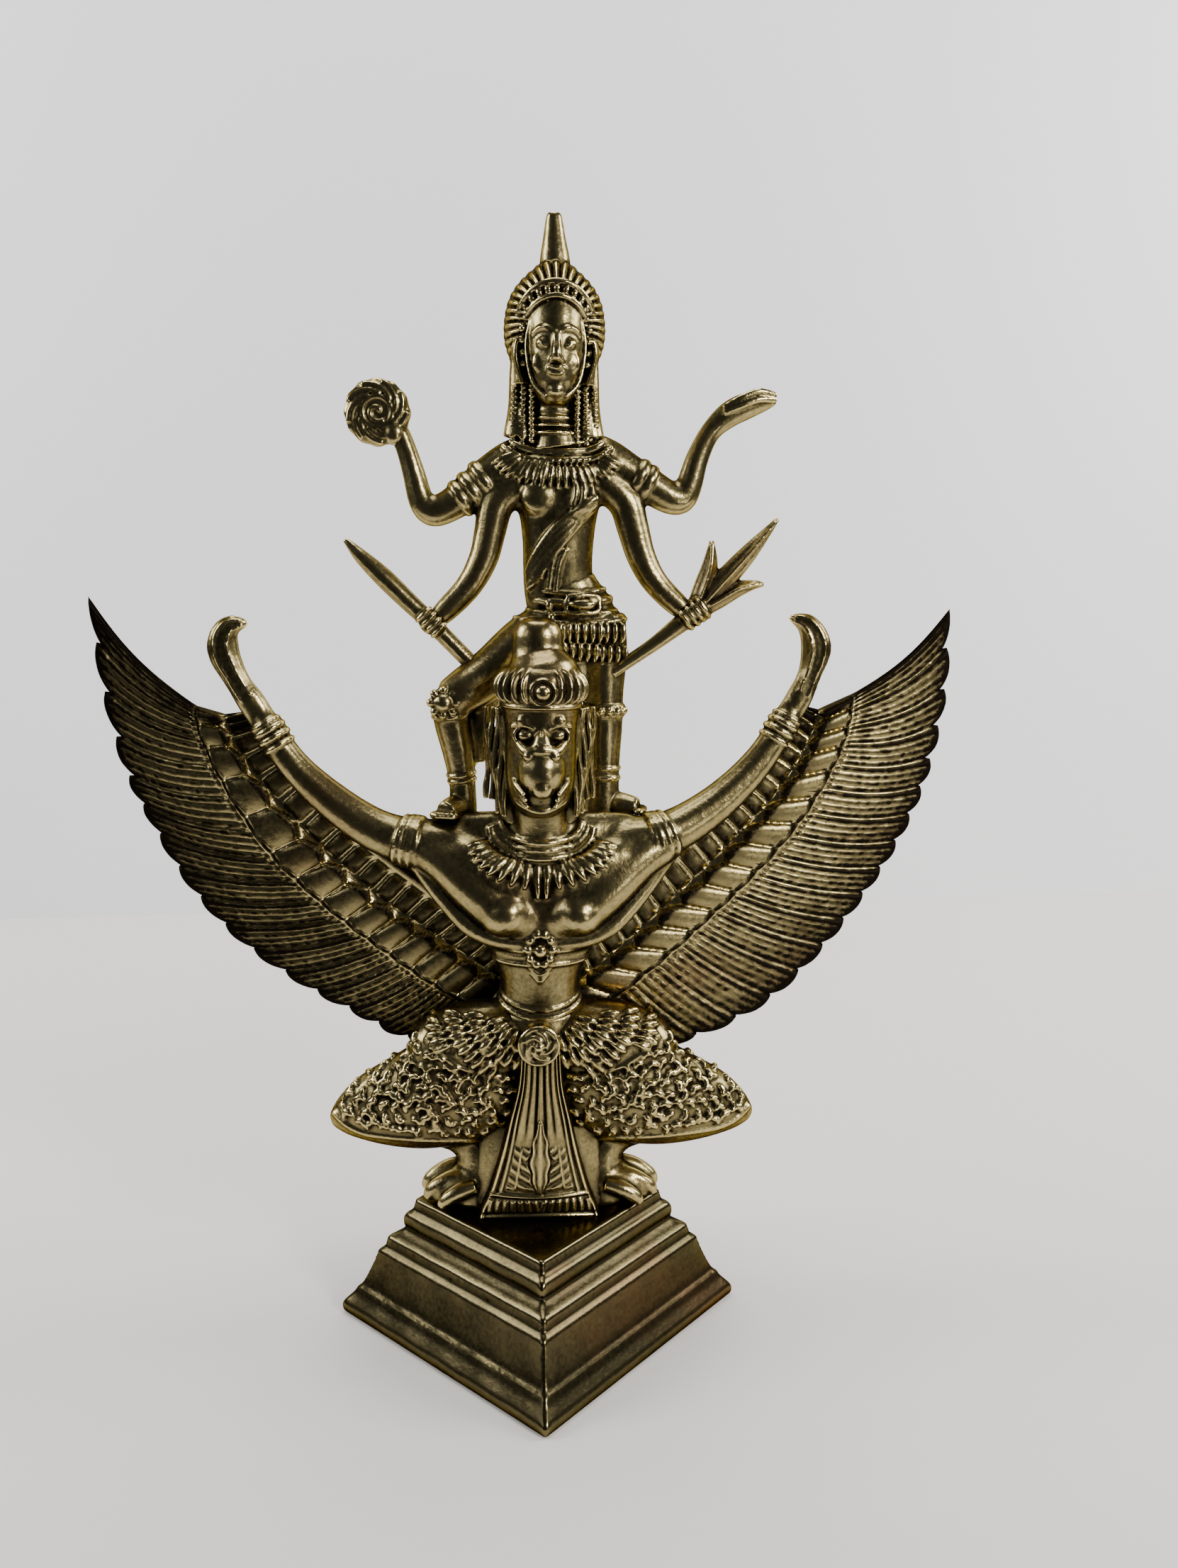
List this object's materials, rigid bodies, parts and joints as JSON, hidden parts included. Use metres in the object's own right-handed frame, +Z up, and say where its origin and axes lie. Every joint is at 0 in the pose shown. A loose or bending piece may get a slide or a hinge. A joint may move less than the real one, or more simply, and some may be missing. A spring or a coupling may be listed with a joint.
{
  "type": "garuda figure",
  "caption": "Cast brass garuda crouching with spread feathered wings and raised arms, carrying a standing crowned deity on its shoulders, on a square stepped plinth.",
  "frame": {"origin": "middle of the plinth's underside, on the surface it stands on", "axes": "+Z up, the figure faces -Y, +X to the viewer's right"},
  "size_m": [0.2278, 0.1108, 0.2893],
  "materials": {
    "aged_brass": "aged cast brass, polished on the raised edges, dark olive brown in the recesses",
    "dark_brass": "satin dark brown brass, worn bright along the front corner"
  },
  "bodies": {
    "root": {"plinth": "dark_brass", "garuda": "aged_brass", "rider": "aged_brass"}
  },
  "joints": []
}
